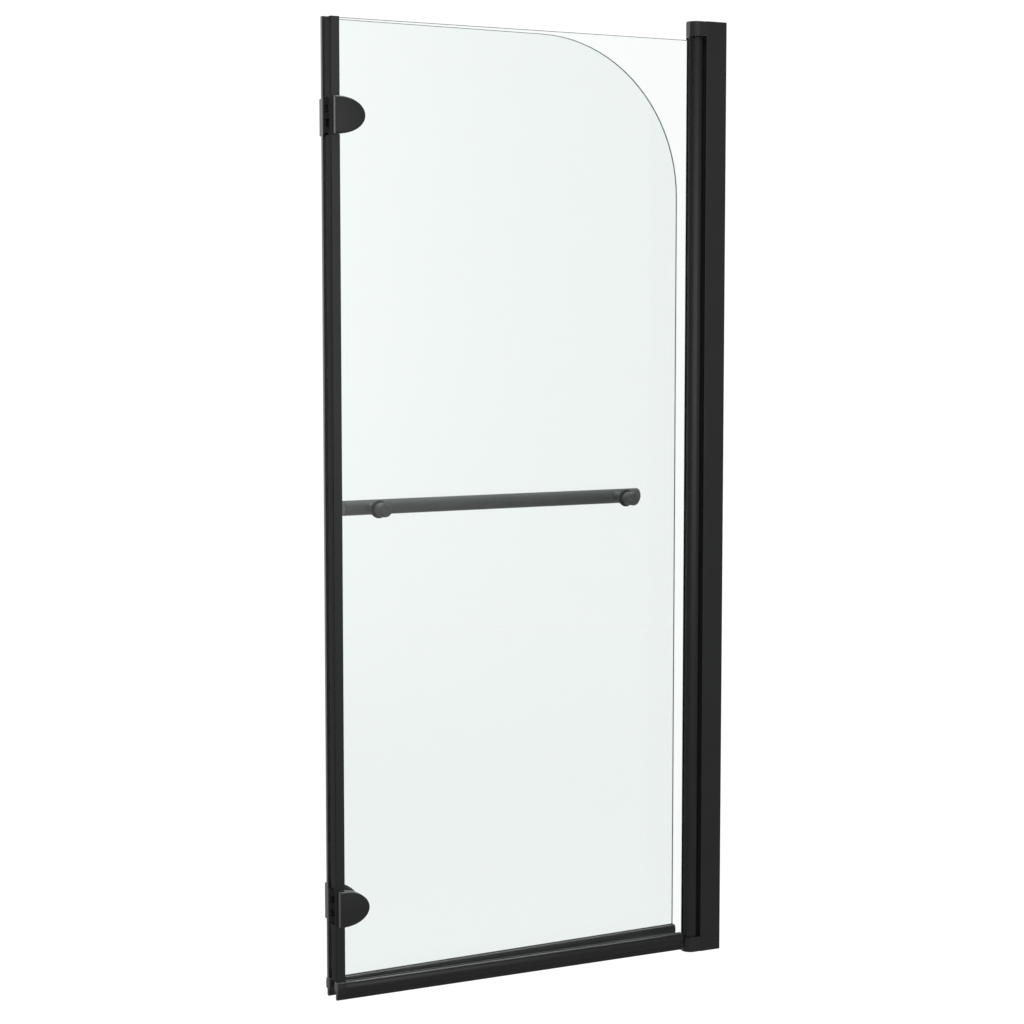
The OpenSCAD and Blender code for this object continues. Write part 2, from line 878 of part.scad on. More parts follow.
// Hollow cover; two bosses pass through the glass and take the screws
module hinge_cover(z) {
    boss_end = glass_half - snug_fit;
    difference() {
        union() {
            difference() {
                d_plate(z, 0, pad_face, cover_face, cover_rim);
                d_plate(z, cover_wall, pad_face - cut, cover_face - cover_wall, cavity_rim);
            }
            at_hinge_screws(z)
                translate([0, 0, -boss_end])
                    cylinder(h = boss_end + cover_face - cover_wall / 2, r = boss_r);
        }
        at_hinge_screws(z)
            translate([0, 0, -boss_end - cut])
                cylinder(h = boss_end + cut + screw_tip + cut, r = hinge_screw_r + thread_fit);
        translate([0, 0, z - hinge_h])
            linear_extrude(2 * hinge_h)
                polygon([
                    [cover_back - cut, cover_face - cover_bevel - cut],
                    [cover_back + cover_bevel + cut, cover_face + cut],
                    [cover_back - cut, cover_face + cut]
                ]);
    }
}

module hinge_pads() {
    for (z = hinge_zs)
        for (face = [0, 1])
            mirror([0, face, 0])
                difference() {
                    d_plate(z, leaf_inset, glass_half, pad_face, pad_rim);
                    at_hinge_screws(z)
                        cylinder(h = cover_face, r = hinge_hole_r);
                }
}

// Knuckle bottom heights, counted from the bottom of the hinge
function knuckle_z(z, i) = z - knuckle_stack / 2 + i * (knuckle_h + knuckle_space);

// Leaf on the gap side, with lugs that reach the fold axis at the knuckles listed
module hinge_leaf(z, levels, bore_r) {
    lug_a = nose_a + fold_set;
    lug_b = axis_y - pad_face - leaf_t / 2;
    lug_turn = atan2(-lug_b, lug_a);
    lug_l = norm([lug_a, lug_b]) + lug_sink;
    guide_r = hinge_screw_r + snug_fit;
    mirror([0, 1, 0])
        difference() {
            union() {
                d_plate(z, leaf_inset, pad_face, pad_face + leaf_t, leaf_rim);
                for (i = levels)
                    translate([0, 0, knuckle_z(z, i)])
                        linear_extrude(knuckle_h)
                            intersection() {
                                translate([-fold_set, axis_y]) {
                                    circle(r = knuckle_r);
                                    rotate(lug_turn)
                                        translate([0, -knuckle_r])
                                            square([lug_l, 2 * knuckle_r]);
                                }
                                translate([-pane_gap, pad_face + lug_fit])
                                    square([2 * pane_gap, pane_gap]);
                            }
            }
            translate([-fold_set, axis_y, z - hinge_h])
                cylinder(h = 2 * hinge_h, r = bore_r);
            at_hinge_screws(z) {
                cylinder(h = cover_face, r = guide_r);
                translate([0, 0, pad_face + leaf_t - guide_r])
                    cylinder(h = guide_r, r1 = guide_r, r2 = screw_head_r + 2 * snug_fit);
            }
        }
}

module hinge_screws() {
    seat = pad_face + leaf_t;
    for (z = hinge_zs)
        mirror([0, 1, 0])
            at_hinge_screws(z) {
                translate([0, 0, -screw_tip])
                    cylinder(h = screw_tip + seat - hinge_screw_r, r = hinge_screw_r);
                translate([0, 0, seat - hinge_screw_r])
                    cylinder(h = hinge_screw_r, r1 = hinge_screw_r, r2 = screw_head_r);
            }
}

module upper_inner_cover() color(cap_black) inner_frame() hinge_cover(hinge_zs[1]);
module lower_inner_cover() color(cap_black) inner_frame() hinge_cover(hinge_zs[0]);
module upper_outer_cover() color(cap_black) outer_frame() hinge_cover(hinge_zs[1]);
module lower_outer_cover() color(cap_black) outer_frame() hinge_cover(hinge_zs[0]);

module upper_inner_leaf() color(frame_black) inner_frame()
    hinge_leaf(hinge_zs[1], inner_levels, hinge_pin_r + thread_fit);
module lower_inner_leaf() color(frame_black) inner_frame()
    hinge_leaf(hinge_zs[0], inner_levels, hinge_pin_r + thread_fit);
module upper_outer_leaf() color(frame_black) outer_frame()
    hinge_leaf(hinge_zs[1], outer_levels, hinge_pin_r + run_fit);
module lower_outer_leaf() color(frame_black) outer_frame()
    hinge_leaf(hinge_zs[0], outer_levels, hinge_pin_r + run_fit);

module inner_hinge_pads() color(soft_black) inner_frame() hinge_pads();
module outer_hinge_pads() color(soft_black) outer_frame() hinge_pads();
module inner_hinge_screws() color(steel) inner_frame() hinge_screws();
module outer_hinge_screws() color(steel) outer_frame() hinge_screws();

module hinge_pins() color(steel)
    for (z = hinge_zs)
        translate([axis_x, axis_y, z - knuckle_stack / 2]) {
            cylinder(h = knuckle_stack, r = hinge_pin_r);
            translate([0, 0, -pin_head_h])
                cylinder(h = pin_head_h, r1 = pin_head_r - pin_bevel, r2 = pin_head_r);
            translate([0, 0, knuckle_stack])
                cylinder(h = pin_head_h, r1 = pin_head_r, r2 = pin_head_r - pin_bevel);
        }

module hinge_washers() color(cap_black)
    for (z = hinge_zs)
        for (i = [1 : knuckles - 1])
            translate([axis_x, axis_y, knuckle_z(z, i) - knuckle_space + knuckle_play])
                ring(knuckle_r - snug_fit, hinge_pin_r + snug_fit, washer_t);

// ---- Towel bar ----

module towel_bar() color(frame_black) outer_frame()
    difference() {
        translate([bar_a0 + bar_plug_t, bar_out, bar_z])
            rotate([0, 90, 0])
                ring(bar_r, bar_r - bar_wall, bar_a1 - bar_a0 - 2 * bar_plug_t);
        for (a = post_as)
            facing_out(a, bar_z)
                cylinder(h = bar_out, r = stud_r + hole_fit);
    }

// One end plug, its outer face at X = 0 and its spigot towards +X
module bar_plug()
    rotate([0, 90, 0]) {
        cylinder(h = bar_bevel, r1 = bar_r - bar_bevel, r2 = bar_r);
        translate([0, 0, bar_bevel])
            cylinder(h = bar_plug_t - bar_bevel, r = bar_r);
        translate([0, 0, bar_plug_t])
            ring(bar_r - bar_wall - snug_fit, bar_r - bar_wall - bar_plug_wall, bar_plug_l);
    }

module bar_end_plugs() color(cap_black) outer_frame() {
    translate([bar_a0, bar_out, bar_z])
        bar_plug();
    translate([bar_a1, bar_out, bar_z])
        mirror([1, 0, 0])
            bar_plug();
}

module bar_inserts() color(steel) outer_frame()
    for (a = post_as)
        difference() {
            translate([a - insert_l / 2, bar_out, bar_z])
                rotate([0, 90, 0])
                    cylinder(h = insert_l, r = bar_r - bar_wall - snug_fit);
            facing_out(a, bar_z)
                cylinder(h = bar_out + stud_far + cut, r = stud_r + thread_fit);
        }

// Trumpet-shaped post, its foot on the gasket ring and its end saddled to the bar
module bar_post(a)
    difference() {
        facing_out(a, bar_z)
            translate([0, 0, ring_face])
                difference() {
                    rotate_extrude() {
                        square([post_neck_r, bar_out - ring_face - bar_r / 2]);
                        difference() {
                            square([post_foot_r, post_rim + post_flare]);
                            translate([post_neck_r + flare_r, post_rim + post_flare])
                                circle(r = flare_r, $fn = fine_fn);
                        }
                    }
                    translate([0, 0, -cut])
                        cylinder(h = bar_out, r = stud_r + hole_fit);
                }
        translate([a - post_foot_r - cut, bar_out, bar_z])
            rotate([0, 90, 0])
                cylinder(h = 2 * (post_foot_r + cut), r = bar_r + thread_fit);
    }

module bar_posts() color(frame_black) outer_frame()
    for (a = post_as)
        bar_post(a);

module post_gaskets() color(soft_black) outer_frame()
    for (a = post_as) {
        facing_out(a, bar_z)
            translate([0, 0, glass_half])
                ring(post_foot_r - foot_inset, stud_r + hole_fit, ring_t);
        facing_gap(a, bar_z)
            translate([0, 0, glass_half])
                ring(knob_r - foot_inset, stud_r + hole_fit, ring_t);
    }

module bar_studs() color(steel) outer_frame()
    for (a = post_as)
        facing_out(a, bar_z)
            translate([0, 0, -ring_face - stud_in])
                cylinder(h = ring_face + stud_in + bar_out + stud_far, r = stud_r);

module bar_knobs() color(frame_black) outer_frame()
    for (a = post_as)
        facing_gap(a, bar_z)
            translate([0, 0, ring_face])
                difference() {
                    rotate_extrude()
                        rim_outline(knob_r, knob_l, knob_rim);
                    translate([0, 0, -cut])
                        cylinder(h = stud_in + 2 * cut, r = stud_r + thread_fit);
                }

wall_channel();
slide_channel();
channel_screws();
top_cap();
bottom_cap();
cap_screws();
pivot_pins();
pivot_seals();
pivot_profile();
pivot_bushes();
pivot_gasket();
inner_glass();
inner_edge_channel();
fold_seal();
inner_rail();
inner_rail_plugs();
inner_drip_seal();
upper_inner_cover();
lower_inner_cover();
upper_inner_leaf();
lower_inner_leaf();
inner_hinge_pads();
inner_hinge_screws();
hinge_pins();
hinge_washers();
outer_glass();
outer_edge_channel();
outer_rail();
outer_rail_plugs();
outer_drip_seal();
upper_outer_cover();
lower_outer_cover();
upper_outer_leaf();
lower_outer_leaf();
outer_hinge_pads();
outer_hinge_screws();
towel_bar();
bar_end_plugs();
bar_inserts();
bar_posts();
post_gaskets();
bar_studs();
bar_knobs();
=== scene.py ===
"""Folding bath screen: finishes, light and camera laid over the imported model."""

import logging
import math
from dataclasses import dataclass, field
from enum import Enum
from typing import Any

import bpy
import numpy as np
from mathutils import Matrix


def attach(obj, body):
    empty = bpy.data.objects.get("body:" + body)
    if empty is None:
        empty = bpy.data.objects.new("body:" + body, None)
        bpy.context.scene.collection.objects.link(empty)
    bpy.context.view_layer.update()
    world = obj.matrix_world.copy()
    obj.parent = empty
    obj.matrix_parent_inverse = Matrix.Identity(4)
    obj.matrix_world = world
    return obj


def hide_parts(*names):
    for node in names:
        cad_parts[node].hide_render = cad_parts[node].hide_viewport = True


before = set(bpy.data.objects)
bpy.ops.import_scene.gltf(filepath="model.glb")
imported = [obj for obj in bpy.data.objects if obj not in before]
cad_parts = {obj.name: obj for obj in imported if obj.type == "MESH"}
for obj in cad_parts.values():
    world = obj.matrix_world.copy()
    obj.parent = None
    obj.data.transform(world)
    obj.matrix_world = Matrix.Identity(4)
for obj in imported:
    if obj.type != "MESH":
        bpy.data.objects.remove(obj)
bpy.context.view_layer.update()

Span = tuple[float, float]
Spot = tuple[float, float, float]

NODES: dict[str, bpy.types.Object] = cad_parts
MM = 0.001
# Edges sharper than this many degrees stay sharp, on the finer pieces and on the CAD nodes
CREASE = 28.0
CAD_CREASE = 30.0
# Corners of a CAD node's triangles that lie within this many mm become one point
WELD = 0.002
WHITE = (1.0, 1.0, 1.0, 1.0)
MADE: dict[str, bpy.types.Material] = {}
log = logging.getLogger("bath_screen")


def linear(colour: str, alpha: float = 1.0) -> tuple[float, float, float, float]:
    """Turns an sRGB hex colour into the linear values that a shader takes.

    A dark value is divided by 12.92. Any other has 0.055 added, is divided by 1.055 and is raised
    to the power 2.4.

    Args:
        colour: the colour as "#rrggbb".
        alpha: the fourth value.

    Returns:
        Linear red, green and blue, and alpha.
    """
    parts = [int(colour[i : i + 2], 16) / 255 for i in (1, 3, 5)]
    red, green, blue = [c / 12.92 if c <= 0.04045 else ((c + 0.055) / 1.055) ** 2.4 for c in parts]
    return red, green, blue, alpha


@dataclass
class Tree:
    """A material's node tree while it is being put together."""

    nodes: bpy.types.Nodes
    links: bpy.types.NodeLinks

    def add(
        self, kind: str, links: dict[Any, Any] | None = None, **settings: Any
    ) -> bpy.types.Node:
        """Adds one node with its settings, values and links.

        Args:
            kind: the node's type without the leading "ShaderNode".
            links: input name or number to a value, or to what feeds it: an output socket, or a node
                that stands for its first output.
            **settings: the node's own properties.

        Returns:
            The node.
        """
        node = self.nodes.new("ShaderNode" + kind)
        for name, value in settings.items():
            setattr(node, name, value)
        for name, value in (links or {}).items():
            if isinstance(value, bpy.types.Node):
                value = value.outputs[0]
            if isinstance(value, bpy.types.NodeSocket):
                self.links.new(value, node.inputs[name])
            else:
                node.inputs[name].default_value = value
        return node


def new_tree(owner: bpy.types.Material | bpy.types.World) -> Tree:
    """Turns on the nodes of a material or world and clears them.

    Args:
        owner: the material or world.

    Returns:
        Its empty tree.
    """
    owner.use_nodes = True
    owner.node_tree.nodes.clear()
    return Tree(owner.node_tree.nodes, owner.node_tree.links)


class Slot(Enum):
    """The record's material slots."""

    PROFILE_BLACK = "profile_black"
    HINGE_BLACK = "hinge_black"
    BAR_BLACK = "bar_black"
    CAP_PLASTIC = "cap_plastic"
    SOFT_SEAL = "soft_seal"
    CLEAR_PLASTIC = "clear_plastic"
    STEEL = "steel"
    GLASS = "glass"


@dataclass(frozen=True)
class Finish:
    """A finish that any piece can be given; each kind says how its surface is made.

    slot names the record's slot for the finer pieces that have this finish; nothing in this script
    reads it.
    """

    name: str
    colour: str
    slot: Slot

    def surface(self, tree: Tree) -> bpy.types.Node:
        """Builds the shader and returns its last node."""
        raise NotImplementedError

    def material(self) -> bpy.types.Material:
        """Makes the material once and returns it each time after.

        Returns:
            The material of this finish.
        """
        if self.name not in MADE:
            made = MADE[self.name] = bpy.data.materials.new(self.name)
            tree = new_tree(made)
            tree.add("OutputMaterial", {"Surface": self.surface(tree)})
            made.diffuse_color = linear(self.colour)
        return MADE[self.name]


@dataclass(frozen=True)
class Coated(Finish):
    """Powder coat or moulded plastic: a fine grain, a slow change of tone and an uneven gloss.

    grain is the size of the finest lumps in mm, drawn coarser than real so that it shows, and
    relief is their height in mm. clouds is how many slow changes of tone there are to a metre; they
    run from colour to light over the ramp. specks is the range of the grain's noise over which the
    gloss changes.
    """

    light: str = "#303133"
    clouds: float = 9.0
    ramp: Span = (0.3, 0.75)
    grain: float = 1.2
    relief: float = 0.02
    bump: float = 0.5
    specks: Span = (0.3, 0.7)
    roughness: float = 0.45
    unevenness: float = 0.06
    specular: float = 0.5
    coat: float = 1.0
    coat_roughness: float = 0.22

    def surface(self, tree: Tree) -> bpy.types.Node:
        """Builds the coat.

        Args:
            tree: the material's tree.

        Returns:
            The shader's node.
        """
        place = tree.add("TexCoord").outputs["Object"]
        slow = {"Scale": self.clouds, "Detail": 4.0, "Roughness": 0.6}
        cloud = tree.add("TexNoise", {"Vector": place, **slow})
        fine = {"Scale": 1 / (self.grain * MM), "Detail": 2.0}
        speck = tree.add("TexNoise", {"Vector": place, **fine})
        tone = tree.add("ValToRGB", {"Fac": cloud})
        ends = zip(tone.color_ramp.elements, self.ramp, (self.colour, self.light))
        for element, position, colour in ends:
            element.position, element.color = position, linear(colour)
        gloss = tree.add(
            "MapRange",
            {
                "Value": speck,
                "From Min": self.specks[0],
                "From Max": self.specks[1],
                "To Min": self.roughness - self.unevenness,
                "To Max": self.roughness + self.unevenness,
            },
        )
        lumps = {"Strength": self.bump, "Distance": self.relief * MM}
        return tree.add(
            "BsdfPrincipled",
            {
                "Base Color": tone,
                "Roughness": gloss,
                "Specular IOR Level": self.specular,
                "Coat Weight": self.coat,
                "Coat Roughness": self.coat_roughness,
                "Normal": tree.add("Bump", {"Height": speck, **lumps}),
            },
        )


@dataclass(frozen=True)
class Metal(Finish):
    """Bare turned or drawn metal: fine lines round or along the piece, and a satin gloss.

    lines is their spacing and relief their height, in mm. stretch draws them out across the piece.
    """

    lines: float = 0.4
    stretch: Spot = (0.15, 0.15, 1.0)
    relief: float = 0.02
    bump: float = 0.3
    roughness: float = 0.3
    unevenness: float = 0.1

    def surface(self, tree: Tree) -> bpy.types.Node:
        """Builds the metal.

        Args:
            tree: the material's tree.

        Returns:
            The shader's node.
        """
        place = tree.add("TexCoord").outputs["Object"]
        drawn = tree.add("Mapping", {"Vector": place, "Scale": self.stretch})
        fine = {"Scale": 1 / (self.lines * MM), "Detail": 3.0}
        line = tree.add("TexNoise", {"Vector": drawn, **fine})
        low, high = self.roughness - self.unevenness, self.roughness + self.unevenness
        ridges = {"Strength": self.bump, "Distance": self.relief * MM}
        return tree.add(
            "BsdfPrincipled",
            {
                "Base Color": linear(self.colour),
                "Metallic": 1.0,
                "Roughness": tree.add("MapRange", {"Value": line, "To Min": low, "To Max": high}),
                "Normal": tree.add("Bump", {"Height": line, **ridges}),
            },
        )


@dataclass(frozen=True)
class ClearPlastic(Finish):
    """Milky clear plastic that lets a little light through.

    haze is the size of its dull spots in mm, glow how much light it scatters inside, and depth how
    far, in mm.
    """

    haze: float = 2.5
    gloss: Span = (0.25, 0.45)
    ior: float = 1.49
    glow: float = 0.4
    depth: float = 2.0

    def surface(self, tree: Tree) -> bpy.types.Node:
        """Builds the plastic.

        Args:
            tree: the material's tree.

        Returns:
            The shader's node.
        """
        place = tree.add("TexCoord").outputs["Object"]
        fine = {"Scale": 1 / (self.haze * MM), "Detail": 2.0}
        spots = tree.add("TexNoise", {"Vector": place, **fine})
        low, high = self.gloss
        return tree.add(
            "BsdfPrincipled",
            {
                "Base Color": linear(self.colour),
                "Roughness": tree.add("MapRange", {"Value": spots, "To Min": low, "To Max": high}),
                "IOR": self.ior,
                "Subsurface Weight": self.glow,
                "Subsurface Scale": self.depth * MM,
            },
        )


@dataclass(frozen=True)
class PaneGlass(Finish):
    """Clear toughened float glass with ground edges.

    across is the pane's own normal. A surface is a clear face where its normal's share along that
    is more than facing; the rest is edge. passed is the tint of the lamps' light behind the pane.
    """

    across: Spot = (0.0, 1.0, 0.0)
    facing: float = 0.9
    ior: float = 1.5
    edge: str = "#626e6b"
    edge_roughness: float = 0.3
    edge_clear: float = 0.2
    passed: str = "#eef6f4"

    def surface(self, tree: Tree) -> bpy.types.Node:
        """Builds clear faces and greyer ground edges, told apart by the direction they face.

        Args:
            tree: the material's tree.

        Returns:
            The shader's node, which lets lamps through to what is behind.
        """
        normal = tree.add("TexCoord").outputs["Normal"]
        along = tree.add("VectorMath", {0: normal, 1: self.across}, operation="DOT_PRODUCT")
        size = tree.add("Math", {0: along.outputs["Value"]}, operation="ABSOLUTE")
        is_face = tree.add("Math", {0: size, 1: self.facing}, operation="GREATER_THAN")
        clear, ground = (
            tree.add(
                "BsdfPrincipled",
                {
                    "Base Color": linear(colour),
                    "Roughness": roughness,
                    "IOR": self.ior,
                    "Transmission Weight": weight,
                },
            )
            for colour, roughness, weight in (
                (self.colour, 0.0, 1.0),
                (self.edge, self.edge_roughness, self.edge_clear),
            )
        )
        pane = tree.add("MixShader", {0: is_face, 1: ground, 2: clear})
        lamp_way = tree.add("BsdfTransparent", {"Color": linear(self.passed)})
        shadow = tree.add("LightPath").outputs["Is Shadow Ray"]
        return tree.add("MixShader", {0: shadow, 1: pane, 2: lamp_way})


class Run(Enum):
    """Which way an outline is carried: where its two numbers and the run go among a, b and z."""

    ALONG = (1, 2, 0)
    UP = (0, 1, 2)


@dataclass(frozen=True)
class Place:
    """A flat frame, in mm: a runs along a pane or out from the wall, b across it, z is up."""

    x: float
    y: float
    turn: float = 0.0
    flipped: bool = False

    def world(self, points: np.ndarray) -> np.ndarray:
        """Turns a, b and z into metres in the shared frame.

        x and y are the start plus a along the frame's direction and b at right angles to it.

        Args:
            points: any number of points, with a, b and z last.

        Returns:
            The same points as x, y and z.
        """
        c, s = math.cos(math.radians(self.turn)), math.sin(math.radians(self.turn))
        a, b, z = points[..., 0], points[..., 1] * (-1 if self.flipped else 1), points[..., 2]
        return np.stack([self.x + a * c - b * s, self.y + a * s + b * c, z], axis=-1) * MM


def arc(centre: Span, radius: float, start: float, end: float, steps: int) -> np.ndarray:
    """Points on an arc: the centre plus the radius times the cosine and sine of the angle.

    Args:
        centre: its middle.
        radius: its radius.
        start: first angle in degrees.
        end: last angle in degrees.
        steps: how many points it has.

    Returns:
        An array of points.
    """
    angle = np.radians(np.linspace(start, end, steps))
    return centre + radius * np.stack([np.cos(angle), np.sin(angle)], axis=1)


def stations(
    start: float, end: float, near: float = 0.0, far: float = 0.0, steps: int = 5
) -> np.ndarray:
    """Places along a run, with how far the outline is drawn in at each, so that its ends are round.

    At an end of radius r the place is r - r cos t from it and the outline is drawn in by
    r - r sin t.

    Args:
        start: where the run begins.
        end: where it ends.
        near: rounding at the start.
        far: rounding at the end.
        steps: places on each rounding.

    Returns:
        Rows of place and inset.
    """
    turn = np.linspace(0, np.pi / 2, steps)
    rise, inset = 1 - np.cos(turn), 1 - np.sin(turn)
    head, tail = np.array([[start, 0.0]]), np.array([[end, 0.0]])
    if near:
        head = np.stack([start + near * rise, near * inset], axis=1)
    if far:
        tail = np.stack([end - far * rise, far * inset], axis=1)[::-1]
    return np.concatenate([head, tail])


def carry(outline: np.ndarray, places: np.ndarray, run: Run) -> np.ndarray:
    """Carries a closed outline along a run, drawn in along its own normals at each place.

    Args:
        outline: its points.
        places: rows of place along the run and inset.
        run: the way it is carried.

    Returns:
        Rings of points in a, b and z.
    """
    ahead = np.roll(outline, -1, axis=0) - np.roll(outline, 1, axis=0)
    ahead /= np.maximum(np.linalg.norm(ahead, axis=1, keepdims=True), 1e-9)
    x, y = outline[:, 0], outline[:, 1]
    way = np.sign((x * np.roll(y, -1) - y * np.roll(x, -1)).sum())
    normal = np.stack([ahead[:, 1], -ahead[:, 0]], axis=1) * way
    rings = np.empty((len(places), len(outline), 3))
    first, second, third = run.value
    flat = outline[None] - normal[None] * places[:, 1, None, None]
    rings[..., first], rings[..., second] = flat[..., 0], flat[..., 1]
    rings[..., third] = places[:, 0, None]
    return rings


def lathe(a: float, z: float, profile: np.ndarray, steps: int = 96) -> np.ndarray:
    """Turns a profile round an axis that crosses the pane: a circle of each radius at each b.

    Args:
        a: where the axis is along the pane.
        z: its height.
        profile: rows of b and radius.
        steps: points round each circle.

    Returns:
        Rings of points in a, b and z.
    """
    angle = np.linspace(0, 2 * np.pi, steps, endpoint=False)[None]
    reach = profile[:, 1, None]
    along, up = a + reach * np.cos(angle), z + reach * np.sin(angle)
    return np.stack([along, np.broadcast_to(profile[:, 0, None], up.shape), up], axis=2)


def cover_rings(spots: np.ndarray, base: int) -> list[list[int]]:
    """Joins a stack of rings by quads and lays a face over each end, all of them facing outwards.

    The volume inside is summed from the faces, split into triangles: one corner's place from the
    middle of all the points, times the cross product of the other two. Where the sum is below zero,
    every face is turned round.

    Args:
        spots: rings of points in metres.
        base: the number of the first point.

    Returns:
        The corners of each face.
    """
    count, size = spots.shape[:2]
    row = np.arange(count - 1)[:, None] * size
    col = np.arange(size)[None]
    following = (col + 1) % size
    corners = [row + col, row + following, row + size + following, row + size + col]
    quads = np.stack(corners, axis=-1).reshape(-1, 4)
    ends = [np.arange(size)[::-1], np.arange(size) + (count - 1) * size]
    flat = spots.reshape(-1, 3)
    middle = flat.mean(axis=0)
    one, two, three, four = (flat[quads[:, i]] - middle for i in range(4))
    inside = (one * np.cross(two, three)).sum() + (one * np.cross(three, four)).sum()
    for end in ends:
        fan = flat[end] - middle
        inside += (fan[0] * np.cross(fan[1:-1], fan[2:])).sum()
    order = -1 if inside < 0 else 1
    return (quads[:, ::order] + base).tolist() + [(end[::order] + base).tolist() for end in ends]


def make(name: str, shells: list[np.ndarray], place: Place) -> bpy.types.Object:
    """Makes one object of closed shells, each a stack of rings with a face over each end.

    Args:
        name: the object's name.
        shells: stacks of rings in a, b and z.
        place: the frame that they are in.

    Returns:
        The object, shaded smooth between its creases.
    """
    points, faces, base = [], [], 0
    for rings in shells:
        spots = place.world(rings)
        points.append(spots.reshape(-1, 3))
        faces += cover_rings(spots, base)
        base += len(points[-1])
    mesh = bpy.data.meshes.new(name)
    mesh.from_pydata(np.concatenate(points).tolist(), [], faces)
    mesh.polygons.foreach_set("use_smooth", np.ones(len(mesh.polygons), dtype=bool))
    mesh.set_sharp_from_angle(angle=math.radians(CREASE))
    piece = bpy.data.objects.new(name, mesh)
    bpy.context.scene.collection.objects.link(piece)
    return piece


# Powder coat on the aluminium profiles: near black, matt with a faint sheen along the edges
PROFILE = Coated(
    "powder_coated_profile",
    "#191a1c",
    Slot.PROFILE_BLACK,
    light="#1e1f21",
    roughness=0.42,
    specular=0.4,
)
# The hinge covers' coat: the same black, slightly finer
HINGE = Coated(
    "powder_coated_hinge",
    "#1c1d1f",
    Slot.HINGE_BLACK,
    light="#212224",
    roughness=0.4,
    grain=1.0,
    coat=0.7,
)
# The bar's satin coat: a little greyer and smoother than the profiles
BAR = Coated(
    "satin_coated_bar",
    "#464445",
    Slot.BAR_BLACK,
    light="#4c4a4b",
    roughness=0.5,
    specular=0.35,
    grain=1.0,
    relief=0.012,
    coat=0.1,
)
# The bar's end plugs: moulded, as grey as the bar
BAR_PLUG = Coated(
    "bar_plug",
    "#464445",
    Slot.CAP_PLASTIC,
    light="#4c4a4b",
    roughness=0.5,
    specular=0.35,
    grain=0.8,
    coat=0.1,
)
# Moulded end caps and plugs: black plastic with a fine spark-eroded grain
CAP = Coated(
    "moulded_cap",
    "#202122",
    Slot.CAP_PLASTIC,
    light="#252627",
    roughness=0.5,
    grain=0.8,
    relief=0.03,
    coat=0.5,
)
# Soft seals and gaskets: matt black, slightly bloomed
SEAL = Coated(
    "black_rubber",
    "#101011",
    Slot.SOFT_SEAL,
    light="#19191a",
    roughness=0.75,
    grain=1.6,
    specular=0.25,
    coat=0.0,
)
# The drip skirts and pivot lips: satin rubber in the rails' own tone
SKIRT = Coated(
    "satin_rubber_skirt",
    "#1d1e1f",
    Slot.SOFT_SEAL,
    light="#232425",
    roughness=0.5,
    specular=0.5,
    coat=0.3,
)
# The rings between the bar's fittings and the pane: dark grey moulded rubber, matt
GASKET = Coated(
    "grey_rubber_gasket",
    "#3c3c3d",
    Slot.SOFT_SEAL,
    light="#444445",
    roughness=0.6,
    specular=0.4,
    coat=0.0,
)
# The hinge leaves and their pins sit in the dark fold: black, drawn darker than the covers' black
# as painted shade of that fold, with no sheen
LEAF = Coated(
    "black_leaf_painted_shade",
    "#161617",
    Slot.HINGE_BLACK,
    light="#1c1c1d",
    roughness=0.55,
    grain=1.0,
    specular=0.35,
    coat=0.0,
)
# Black metal pin: its near-black colour is partly painted shade of the fold
PIN = Metal("black_pin_painted_shade", "#161617", Slot.STEEL, roughness=0.5)
# The pivot bushes: milky clear acetal
CLEAR = ClearPlastic("milky_acetal", "#c3cccb", Slot.CLEAR_PLASTIC)
# Zinc-plated screws, pins and studs: pale grey, with a dull gleam
STEEL = Metal("plated_steel", "#b9bcbf", Slot.STEEL)
# Toughened float glass: all but colourless through a face, grey-green along an edge
INNER_PANE = PaneGlass("inner_pane_glass", "#fafdfc", Slot.GLASS)

# Where the inner pane ends at the fold; the fold's axis lies a little beyond it, in the middle of
# the gap between the panes. The outer panel is turned open about that axis by a few degrees.
FOLD_EDGE = -620.0
FOLD_SET = 0.75
HALF_GAP = 16.0
REST_OPEN = 2.2
WALL_PLACE = Place(0.0, 0.0)
INNER_PLACE = Place(FOLD_EDGE, 0.0, flipped=True)
FOLD_AXIS = Place(FOLD_EDGE - FOLD_SET, HALF_GAP, turn=REST_OPEN)
OUTER_START = FOLD_AXIS.world(np.array([FOLD_SET, HALF_GAP, 0.0])) / MM
OUTER_PLACE = Place(float(OUTER_START[0]), float(OUTER_START[1]), turn=REST_OPEN)


def dress(node: str, finish: Finish) -> None:
    """Gives a CAD node one finish, and smooth shading on its curved faces.

    Args:
        node: the node's name.
        finish: the finish.
    """
    piece = NODES[node]
    piece.data.materials.clear()
    piece.data.materials.append(finish.material())
    piece.data.polygons.foreach_set("use_smooth", np.ones(len(piece.data.polygons), dtype=bool))
    piece.modifiers.new("weld", "WELD").merge_threshold = WELD * MM
    piece.modifiers.new("creases", "EDGE_SPLIT").split_angle = math.radians(CAD_CREASE)
    piece.modifiers.new("even_shading", "WEIGHTED_NORMAL").keep_sharp = True
    log.info("%s: %s", node, finish.name)


@dataclass
class Assembly:
    """A sub-assembly on one body: some nodes only dressed, and others replaced by finer pieces."""

    body: str = "wall"
    dressed: dict[str, Finish] = field(default_factory=dict)

    def build(self) -> None:
        """Gives each carried-over node its finish."""
        for node, finish in self.dressed.items():
            dress(node, finish)

    def put(
        self, node: str, shells: list[np.ndarray], place: Place, finish: Finish, body: str = ""
    ) -> None:
        """Makes the finer piece that stands for one node, dresses it and lets it ride.

        Args:
            node: the node that it stands for.
            shells: its shells in a, b and z.
            place: the frame that they are in.
            finish: its finish.
            body: the body that it rides on, when that isn't the sub-assembly's own.
        """
        piece = make(node + "_skin", shells, place)
        piece.data.materials.append(finish.material())
        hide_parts(node)
        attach(piece, body or self.body)
        log.info("%s: %s", piece.name, finish.name)


